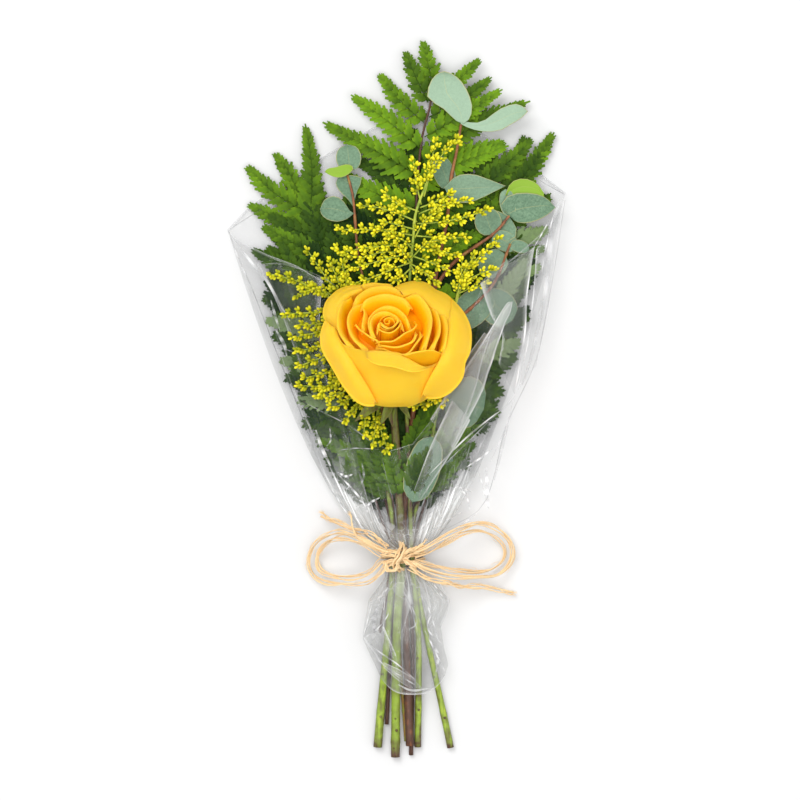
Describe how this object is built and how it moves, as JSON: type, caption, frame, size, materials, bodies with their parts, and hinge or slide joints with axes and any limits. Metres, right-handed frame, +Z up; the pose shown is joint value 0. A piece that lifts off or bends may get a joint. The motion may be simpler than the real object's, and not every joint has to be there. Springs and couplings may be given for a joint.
{
  "type": "mixed flower bouquet",
  "caption": "Small rose bouquet with goldenrod, fern and eucalyptus in a clear film cone tied with a raffia bow, lying face up on a surface.",
  "frame": {"origin": "on the surface the bouquet lies on, at the middle of the film sleeve's flat back", "axes": "+Y from the cut stems towards the flower and the fern tips, +Z up from the surface towards the side the rose faces"},
  "size_m": [0.1865, 0.3946, 0.0718],
  "materials": {
    "petals": "soft satin",
    "rose_green": "satin",
    "fern": "satin",
    "eucalyptus": "matte",
    "goldenrod": "matte",
    "film": "clear gloss",
    "raffia": "matte"
  },
  "bodies": {
    "root": {"rose_bloom": "petals", "rose_stem": "rose_green", "fern_frond_centre": "fern", "fern_frond_left": "fern", "fern_frond_right": "fern", "fern_frond_lower_left": "fern", "fern_frond_lower_right": "fern", "eucalyptus_sprig_right": "eucalyptus", "eucalyptus_sprig_left": "eucalyptus", "goldenrod_spray_top": "goldenrod", "goldenrod_spray_left": "goldenrod", "goldenrod_spray_right": "goldenrod", "film_sleeve": "film", "raffia_band": "raffia", "raffia_loop_left": "raffia", "raffia_loop_left_inner": "raffia", "raffia_loop_right": "raffia", "raffia_loop_right_inner": "raffia", "raffia_tail_left": "raffia", "raffia_tail_right": "raffia"}
  },
  "joints": []
}
